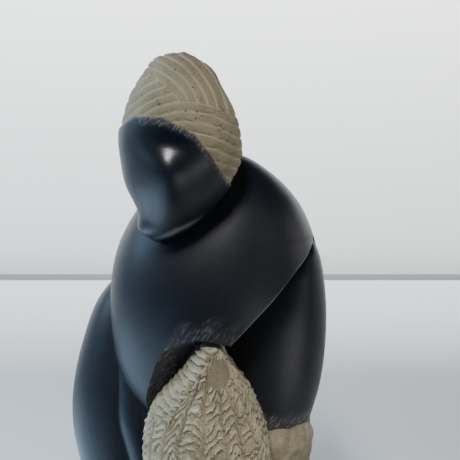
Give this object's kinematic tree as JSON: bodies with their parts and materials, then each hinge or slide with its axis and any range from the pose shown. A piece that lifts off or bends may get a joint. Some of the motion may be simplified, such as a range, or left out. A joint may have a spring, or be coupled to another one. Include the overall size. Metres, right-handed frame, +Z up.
{
  "type": "stone seated figure",
  "caption": "Abstract seated figure carved from one block of dark stone: bowed egg-shaped head with combed hair, folded arm over a raised knee, rough skirt, rock seat and low base; a table sculpture",
  "frame": {"origin": "on the ground, at the middle of the base's rectangle", "axes": "+Z up along the figure's height, -Y towards the viewer the face and knee turn to, +X to the viewer's right"},
  "size_m": [0.1586, 0.131, 0.3],
  "materials": {
    "carved_stone": "polished dark stone, with hair, skirt, rock and base left raw grey-brown from the tool"
  },
  "bodies": {
    "root": {"seated_figure": "carved_stone"}
  },
  "joints": []
}
